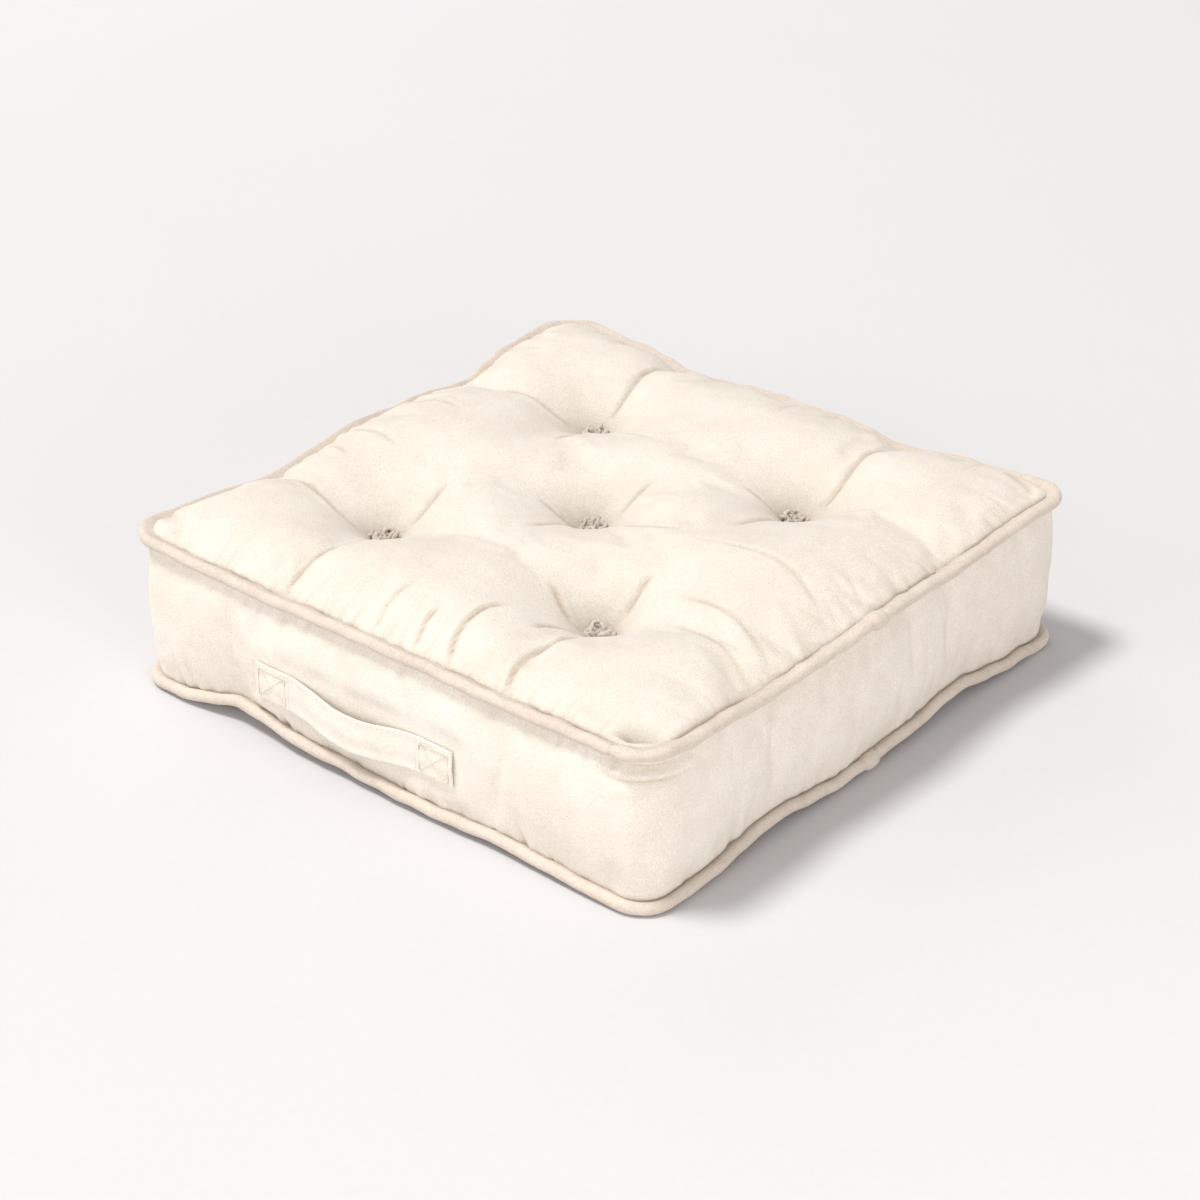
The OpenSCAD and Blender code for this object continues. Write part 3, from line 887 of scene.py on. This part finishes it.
# %% Gathers square to the piping
SIDES = {"front": (0, 1, -1, 44, 0.6), "right": (1, 0, 1, 60, 0.5), "back": (0, 1, 1, 44, 0.7),
         "left": (1, 0, -1, 44, 0.75)}
WALL_FOLDS = {"front": 60, "right": 24, "back": 34, "left": 34}
for name, (run_axis, far_axis, sign, count, force) in SIDES.items():
    inside = seam_half - sign * put[:, far_axis]
    near = (inside < 0.075) & deep_side
    for _ in range(count):
        at = rng.uniform(-0.222, 0.222)
        long = rng.choice([0.009, 0.014, 0.028]) * rng.uniform(0.7, 1.4)
        wide = rng.uniform(0.0016, 0.003) * (1 + long / 0.03)
        depth = force * rng.uniform(0.0006, 0.0012)
        slant = rng.normal(0, 0.25)
        off = put[near, run_axis] - at - slant * inside[near]
        fade = np.exp(-(inside[near] / long) ** 2) * ease(inside[near] / 0.003)
        move[near] += depth * fade * (0.6 * np.exp(-((np.abs(off) - 1.9 * wide) / wide) ** 2)
                                      - np.exp(-(off / wide) ** 2))
        # Painted shade: a thin darker line along each gather's trough.
        gather_shade = 0.5 * force * fade * np.exp(-(off / 0.0017) ** 2)
        painted_shade[near] = np.maximum(painted_shade[near], gather_shade)
print("gathers pressed along four sides")

# %% [markdown]
# ## Wrinkles in the boxing
# The band is sewn to two seams that are never quite as long as it is, so it wrinkles upright
# from both of them. Afterwards all the folds are put into the cloth together, and the places
# close to the seams, the piping and the tufts are marked as shaded.

# %% Wrinkles in the boxing
height = put[:, 2]
for name, (run_axis, far_axis, sign, count, force) in SIDES.items():
    band = (sign * put[:, far_axis] > seam_half - 0.02) & (height < top_z - 0.001)
    for number in range(WALL_FOLDS[name]):
        at = rng.uniform(-0.225, 0.225)
        from_top = number % 2 == 0
        gone = (top_z - height[band]) if from_top else (height[band] - base_z)
        long = rng.choice([0.012, 0.022, 0.045]) * rng.uniform(0.7, 1.3)
        wide = rng.uniform(0.0016, 0.0036) * (1 + long / 0.05)
        depth = rng.uniform(0.0006, 0.0015)
        off = put[band, run_axis] - at - rng.normal(0, 0.12) * gone
        fade = np.exp(-(gone / long) ** 2) * ease(gone / 0.004)
        move[band] += depth * fade * (0.5 * np.exp(-((np.abs(off) - 1.9 * wide) / wide) ** 2)
                                      - np.exp(-(off / wide) ** 2))
put += nrm * move[:, None]
# Painted shade: darker just under the roll of the top piping, on the top panel beside the seam, and
# just above the bottom seam.
under_roll_shade = np.exp(-((top_z - height) / 0.0042) ** 2) * ~deep_side
seam_shade = np.exp(-(to_edge / 0.0022) ** 2) * deep_side
painted_shade = np.maximum(painted_shade, np.maximum(0.75 * under_roll_shade, 0.35 * seam_shade))
painted_shade = np.maximum(painted_shade, 0.6 * np.exp(-((height - base_z) / 0.004) ** 2) * (height < 0.05))
# Painted shade round each tuft, where the cloth dips into its dimple.
for spot in top_tufts:
    near = np.hypot(put[:, 0] - spot[0], put[:, 1] - spot[1])
    painted_shade = np.maximum(painted_shade, 0.5 * np.exp(-(near / 0.020) ** 2) * deep_side_all)
print("wrinkles pressed, deepest fold mark", round(float(painted_shade.max()), 3))

# %% [markdown]
# ## The front corner
# Along the front the panel puffs out over the piping. At the front corner it is tucked in behind
# the piping, with a small ridge beside the tuck, and the boxing below has two pinched folds.

# %% Puffed front and tucked corner
front_gap = put[:, 1] + seam_half
puffed = np.exp(-(front_gap / 0.009) ** 2) * deep_side * ease((seam_half - half_x) / 0.03)
put[:, 1] -= 0.0016 * puffed
put[:, 2] += 0.0016 * puffed
tuck = put[:, :2] - np.array([0.2215, -0.2235])
tuck_long = tuck @ np.array([0.77, 0.64])
tuck_wide = tuck @ np.array([-0.64, 0.77])
hollow = np.exp(-(tuck_long / 0.015) ** 2 - (tuck_wide / 0.0075) ** 2)
put[deep_side, 2] -= (0.0095 * hollow)[deep_side]
# Painted shade in the hollow of the tuck.
painted_shade = np.maximum(painted_shade, 0.4 * hollow ** 2 * deep_side)
ridge_spot = np.array([0.206, -0.229])
dist = np.linalg.norm(put[:, :2] - ridge_spot, axis=1)
put[deep_side, 2] += (0.0034 * np.exp(-(dist / 0.007) ** 2))[deep_side]
corner_wall = np.exp(-(np.linalg.norm(put[:, :2] - np.array([0.236, -0.236]), axis=1) / 0.028) ** 2)
for fold_z, depth in ((top_z - 0.012, 0.0036), (top_z - 0.022, 0.0022)):
    fold = np.exp(-((height - fold_z) / 0.0028) ** 2) - 0.5 * np.exp(
        -((height - fold_z + 0.006) / 0.004) ** 2)
    put[~deep_side] -= (nrm * (depth * corner_wall * fold)[:, None])[~deep_side]
    # Painted shade along each pinched fold of the boxing.
    fold_line_shade = np.exp(-((height - fold_z) / 0.0016) ** 2) * corner_wall * ~deep_side
    painted_shade = np.maximum(painted_shade, 0.7 * fold_line_shade)
print("corner tuck at", (0.2215, -0.2235))

# %% [markdown]
# ## Behind the strap
# The cloth lies flat where the ends of the strap are sewn on, so the boxing is pressed back to
# the plane of the stitched ends there. The painted shade is then kept with the cloth's points, in
# the fold attribute.

# %% Flat behind the strap
strap_left_low, strap_left_high = [np.array(p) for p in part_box("strap_end_left")]
strap_right_high = np.array(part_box("strap_end_right")[1])
strap_back_y = wall_low[1]
over_strap = (ease((put[:, 0] - strap_left_low[0] + 0.02) / 0.02)
              * ease((strap_right_high[0] + 0.02 - put[:, 0]) / 0.02)
              * ease((height - strap_left_low[2] + 0.02) / 0.015)
              * ease((strap_left_high[2] + 0.02 - height) / 0.015))
too_far = np.minimum(put[:, 1] - (strap_back_y + 0.0002), 0) * (put[:, 1] < -0.2)
put[:, 1] -= too_far * over_strap
to_wall = np.clip(strap_back_y + 0.0002 - put[:, 1], -0.006, 0) * (put[:, 1] < -0.2)
put[:, 1] += to_wall * over_strap
put_points(cover, put)
# The painted shade goes into the fold attribute, which darkens the cloth's colour.
marks = cover.data.attributes.new("fold", "FLOAT", "POINT")
marks.data.foreach_set("value", painted_shade.astype(np.float32))
print("cover box", put.min(axis=0).round(4), put.max(axis=0).round(4))

# %% [markdown]
# ## Cutting the cover into its cloth pieces
# The real cover is sewn from a top, a bottom and a band in two lengths, which meet at the left
# and the right corner. The net is parted along the same lines, and each piece is given the
# thickness of the cloth, inwards, so that the outside keeps its shape.


# %% Part the cover
def face_middles(obj):
    """The middle of every face."""
    c = np.empty(len(obj.data.polygons) * 3)
    obj.data.polygons.foreach_get("center", c)
    return c.reshape(-1, 3)


middles = face_middles(cover)
faces_on_top = np.zeros(len(cover.data.polygons), bool)
faces_on_top[:CELLS * CELLS * 4] = True
if middles[faces_on_top][:, 2].min() < middles[~faces_on_top][:, 2].min():
    print("check the order of the faces")
front_right = middles[:, 0] > middles[:, 1]
CLOTH = 0.0016
cut = {
    "top_panel": faces_on_top,
    "boxing_front_right": ~faces_on_top & front_right,
    "boxing_back_left": ~faces_on_top & ~front_right,
}
for node, keep in cut.items():
    piece = copy_of(cover, node + "_cloth")
    piece.vertex_groups.clear()
    delete_faces(piece, ~keep)
    apply_modifier(piece, "SOLIDIFY", thickness=CLOTH, offset=-1.0, use_even_offset=False)
    smooth(piece)
    paint(piece, velour if node == "top_panel" else velour_band)
    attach(piece, "cushion")
    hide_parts(node)
    print(piece.name, triangles(piece), "triangles")
bpy.data.objects.remove(cover)

# %% [markdown]
# ## The two remaining pieces of the body
# The bottom gets its thickness in the same way. The filling needs none, as it is a solid block.

# %% Bottom panel and filling
bottom = under
bottom.name = "bottom_panel_cloth"
subdivide(bottom)
apply_modifier(bottom, "SOLIDIFY", thickness=CLOTH, offset=-1.0)
smooth(bottom)
paint(bottom, velour)
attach(bottom, "cushion")
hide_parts("bottom_panel")
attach(filling, "cushion")
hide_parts("fibre_filling")
print("bottom", triangles(bottom), "filling", triangles(filling))

# %% [markdown]
# ## Piping, its cord, and the seam thread
# Piping is a bias strip wrapped round a cotton cord and caught in the seam. Each is a ring that
# follows the seam: the strip's section is a circle with a flat tail that runs in between the
# two panels. The strip is joined once on the right side, where it overlaps and is a bit thicker.


# %% Rings that follow a seam
def seam_path(waves, height, count):
    """The points of a seam, and the way out from it at each."""
    u, v = around(count)
    path = seam_line(u, v, waves, height)
    ahead = np.roll(path, -3, axis=0) - np.roll(path, 3, axis=0)
    ahead[:, 2] = 0
    ahead /= np.linalg.norm(ahead, axis=1)[:, None]
    return path, np.column_stack([ahead[:, 1], -ahead[:, 0], np.zeros(count)]), v, u


def ring(name, path, out, radius, sides, tail=0.0):
    """A closed tube: a long grid, rolled round the path and joined to itself."""
    count = len(path)
    bpy.ops.mesh.primitive_grid_add(x_subdivisions=count, y_subdivisions=sides, size=2)
    obj = bpy.context.object
    obj.name = name
    cells = points_of(obj)
    step_along = np.round((cells[:, 0] + 1) / 2 * count).astype(int) % count
    step_round = np.round((cells[:, 1] + 1) / 2 * sides).astype(int) % sides
    angle = np.arange(sides) / sides * 2 * math.pi
    cos = np.cos(angle)[None, :, None]
    sin = np.sin(angle)[None, :, None]
    r = np.asarray(radius)
    r = np.broadcast_to(r if r.ndim == 2 else r.reshape(-1, 1), (count, sides))[:, :, None]
    inward = np.clip(-cos, 0, 1) ** 3
    co = (path[:, None, :] + out[:, None, :] * (cos * r - tail * inward)
          + np.array([0, 0, 1.0]) * sin * r * (1 - 0.82 * (tail > 0) * inward ** 0.5))
    put_points(obj, co[step_along, step_round])
    pick(obj)
    bpy.ops.object.mode_set(mode="EDIT")
    bpy.ops.mesh.select_mode(type="VERT")
    bpy.ops.mesh.select_all(action="SELECT")
    bpy.ops.mesh.remove_doubles(threshold=0.000001)
    bpy.ops.object.mode_set(mode="OBJECT")
    outward(obj)
    smooth(obj)
    return obj


def piping(name, waves, height, fold):
    """The covered piping of one seam, its cord and its thread."""
    count = 960
    path, out, v, u = seam_path(waves, height, count)
    s = np.arange(count) / count * 4 * 2 * seam_half
    wobble = sum(np.sin(s * k + rng.uniform(0, 6)) for k in rng.uniform(60, 260, 6)) / 6
    bulge = 1 + 0.06 * wobble
    at_join = (u > 0.999) & (np.abs(v - 0.02) < 0.03)
    bulge = bulge + 0.40 * at_join * ease((0.03 - np.abs(v - 0.02)) / 0.006)
    bulge = bulge - 0.5 * np.exp(-((v - 0.052) / 0.006) ** 2) * (u > 0.999)
    if fold:
        turn = np.hypot(u - 1, v + 1)
        bulge = bulge + 0.22 * np.exp(-((turn - 0.05) / 0.022) ** 2) * (v < -0.98)
        bulge = bulge - 0.34 * np.exp(-((turn - 0.085) / 0.007) ** 2) * (v < -0.999)
    centre = path + out * (piping_r * (0.98 + 0.10 * np.roll(wobble, 31)))[:, None]
    centre[:, 2] += 0.0011 * np.roll(wobble, 77)
    angle = np.arange(16) / 16 * 2 * math.pi
    slant = np.sin(s[:, None] * 420 + angle[None, :] * 1.0 + 2 * wobble[:, None])
    radius = roll_r * bulge[:, None] * (1 + 0.012 * slant)
    if height < 0.05:
        centre[:, 2] = np.maximum(centre[:, 2], (radius.max(axis=1) + 0.0001))
    cover_ring = ring(name + "_piping_velour", centre, out, radius, 16, tail=0.007)
    paint(cover_ring, piping_velour)
    cord_ring = ring(name + "_piping_cord_cotton", centre, out, np.full(count, roll_r - 0.0014), 10)
    paint(cord_ring, cord_cotton)
    stitch = ring(name + "_seam_thread_run", path - out * 0.0056, out, np.full(count, 0.0004), 6)
    paint(stitch, thread)
    for obj, node, place in ((cover_ring, name + "_piping_cover", "piping_velour"),
                             (cord_ring, name + "_piping_cord", "piping_cord"),
                             (stitch, name + "_seam_thread", "sewing_thread")):
        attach(obj, "cushion")
        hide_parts(node)
        print(obj.name, triangles(obj), "triangles")


piping("top", TOP_WAVE, top_z, True)
piping("bottom", BASE_WAVE, base_z, False)

# %% [markdown]
# ## The tufts
# Each tuft is a short bundle of soft cotton yarn, tied in the middle by the twine. The ends
# spring up and curl, with dark gaps between them. Every end is a short curve with its own bend,
# drawn thicker in the middle than at the tip, and turned into a mesh.


# %% Tufts
def curve_object(name, lines, thickness, resolution=2):
    """One curve object with a smooth line for each list of points, each point with a radius."""
    data = bpy.data.curves.new(name, "CURVE")
    data.dimensions = "3D"
    data.bevel_depth = thickness
    data.bevel_resolution = resolution
    data.use_fill_caps = True
    for line in lines:
        spline = data.splines.new("POLY")
        spline.points.add(len(line) - 1)
        for point, (px, py, pz, pr) in zip(spline.points, line):
            point.co = (px, py, pz, 1)
            point.radius = pr
    obj = bpy.data.objects.new(name, data)
    scene.collection.objects.link(obj)
    pick(obj)
    bpy.ops.object.convert(target="MESH")
    return bpy.context.object


def tuft(name, spot, flip, seed):
    """A bundle of curled yarn ends, about twenty millimetres across."""
    own = np.random.default_rng(seed)
    lines = []
    for number in range(24):
        way = number * 2.4 + own.uniform(-0.4, 0.4)
        size = own.uniform(0.0055, 0.0108)
        rise = own.uniform(0.0045, 0.0108)
        curl = own.uniform(-2.4, 2.4)
        kink = own.normal(0, 0.0008, (13, 3))
        line = []
        for step_t, off in zip(np.linspace(0, 1, 13), kink):
            turn = way + curl * step_t ** 1.5
            far = 0.0008 + size * math.sin(step_t * math.pi * 0.72)
            up = rise * math.sin(step_t * math.pi * 0.95) - 0.001
            thick = 0.85 + 0.35 * math.sin(step_t * math.pi)
            line.append((spot[0] + far * math.cos(turn) + off[0],
                         spot[1] + far * math.sin(turn) * 0.85 + off[1],
                         spot[2] + flip * (up + off[2]), thick))
        lines.append(line)
        for _ in range(3):
            split = line[-1]
            ahead = np.array(line[-1][:3]) - np.array(line[-3][:3])
            ahead = ahead / max(np.linalg.norm(ahead), 1e-9)
            bend = own.normal(0, 0.5, 3)
            tip = np.array(split[:3])
            wisp = [(*tip, 0.3)]
            for _ in range(3):
                ahead = ahead + bend * 0.5
                ahead = ahead / np.linalg.norm(ahead)
                tip = tip + ahead * 0.0009
                wisp.append((*tip, 0.22))
            lines.append(wisp)
    obj = curve_object(name, lines, 0.0014)
    smooth(obj)
    paint(obj, cotton)
    return obj


for number, place in enumerate(TUFT_NAMES):
    upper = top_tufts[number] + np.array([0, 0, -0.0018])
    top_bundle = tuft("top_tuft_yarn_" + place, upper, 1, 100 + number)
    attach(top_bundle, "cushion")
    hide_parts("top_tuft_" + place)
    lower = base_tufts[number] + np.array([0, 0, 0.0012])
    base_bundle = tuft("bottom_tuft_yarn_" + place, lower, -1, 200 + number)
    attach(base_bundle, "cushion")
    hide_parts("bottom_tuft_" + place)
    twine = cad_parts["twine_" + place]
    paint(twine, twine_cotton)
print("tufts:", 2 * len(TUFT_NAMES), "of", triangles(top_bundle), "triangles")

# %% [markdown]
# ## The carrying strap
# The strap is a strip of the same velour, folded flat and sewn down at both ends with a box and
# a cross. Its middle is loose: it hangs a little away from the side and sags. The loose part is
# in two halves, which overlap a little at the middle.

# %% Strap
loop_low, loop_high = [np.array(p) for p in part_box("strap_loop")]
strap_x0, strap_x1 = loop_low[0], loop_high[0]
strap_mid = (strap_x0 + strap_x1) / 2
strap_thick = 0.0021
strap_top_z = strap_left_high[2]
strap_wide = strap_left_high[2] - strap_left_low[2]
stand_off = (abs(loop_low[1] - strap_back_y) - 0.0025) * 0.6
sag = (strap_left_low[2] - loop_low[2]) * 0.8


def strap_piece(name, x_start, x_end, steps):
    """One length of the strap: a grid laid along it, given thickness and soft edges."""
    bpy.ops.mesh.primitive_grid_add(x_subdivisions=steps, y_subdivisions=14, size=2)
    obj = bpy.context.object
    obj.name = name
    co = points_of(obj)
    t = (co[:, 0] + 1) / 2
    across = co[:, 1]
    px = x_start + (x_end - x_start) * t
    part = np.clip((px - strap_x0) / (strap_x1 - strap_x0), 0, 1)
    free = np.sin(math.pi * part) ** 2
    hang = np.sin(math.pi * part) ** 1.5
    puff = 0.0003 * np.cos(across * math.pi * 1.6) + 0.0002 * np.sin(px * 190 + across * 2)
    pz = strap_top_z - strap_wide / 2 + across * strap_wide / 2 * (1 - 0.05 * free) - sag * hang
    py = strap_back_y - 0.0006 - stand_off * free * (1 - 0.12 * across) - puff
    put_points(obj, np.column_stack([px, py, pz]))
    pick(obj)
    way = np.array(obj.data.polygons[0].normal)
    if way[1] > 0:
        bpy.ops.object.mode_set(mode="EDIT")
        bpy.ops.mesh.select_all(action="SELECT")
        bpy.ops.mesh.flip_normals()
        bpy.ops.object.mode_set(mode="OBJECT")
    apply_modifier(obj, "SOLIDIFY", thickness=strap_thick, offset=1.0)
    outward(obj)
    apply_modifier(obj, "BEVEL", width=0.0007, segments=2, limit_method="ANGLE",
                   angle_limit=math.radians(60))
    smooth(obj)
    paint(obj, strap_velour)
    print(obj.name, triangles(obj), "triangles")
    return obj


end_left = strap_piece("strap_sewn_left", strap_left_low[0], strap_x0 + 0.0002, 18)
end_right = strap_piece("strap_sewn_right", strap_x1 - 0.0002, strap_right_high[0], 18)
for obj, node in ((end_left, "strap_end_left"), (end_right, "strap_end_right")):
    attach(obj, "cushion")
    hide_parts(node)
half_left = strap_piece("strap_free_left", strap_x0, strap_mid + 0.0012, 48)
half_right = strap_piece("strap_free_right", strap_mid - 0.0012, strap_x1, 48)
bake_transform(half_left)
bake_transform(half_right)
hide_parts("strap_loop")
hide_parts("strap_loop")

# %% [markdown]
# ## Box and cross stitching
# The ends carry the whole weight of the cushion, so they are stitched round in a box and across
# it from corner to corner. Each stitch is a short thread that dips into the pile at both ends.


# %% Stitches
def stitch_line(start, end, y, lines):
    """Stitches of about three millimetres from start to end, two points in x and z."""
    start, end = np.array(start), np.array(end)
    size = np.linalg.norm(end - start)
    count = max(2, int(round(size / 0.0031)))
    for k in range(count):
        a = start + (end - start) * (k + 0.10) / count
        b = start + (end - start) * (k + 0.90) / count
        line = []
        for t, dip in ((0, 0.0006), (0.2, 0.0001), (0.5, 0.0), (0.8, 0.0001), (1, 0.0006)):
            p = a + (b - a) * t
            line.append((p[0], y + dip, p[1], 1.0))
        lines.append(line)


for node, sewn in (("strap_stitching_left", end_left), ("strap_stitching_right", end_right)):
    low, high = [np.array(p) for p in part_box(node)]
    y = points_of(sewn)[:, 1].min() - 0.00005
    corners = [(low[0], low[2]), (high[0], low[2]), (high[0], high[2]), (low[0], high[2])]
    lines = []
    for k in range(4):
        stitch_line(corners[k], corners[(k + 1) % 4], y, lines)
    stitch_line(corners[0], corners[2], y, lines)
    stitch_line(corners[1], corners[3], y, lines)
    sewing = curve_object(node + "_thread", lines, 0.0004, 1)
    smooth(sewing)
    paint(sewing, thread)
    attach(sewing, "cushion")
    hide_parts(node)
    print(sewing.name, len(lines), "stitches")

# %% [markdown]
# ## The height of the boxing's cut
# The cloth pieces were cut flat. The boxing's cut is the height between the seams, seam
# allowance included. The filling is the one stuffed piece.

# %% The height of the boxing's cut
band = top_z - base_z + 0.024
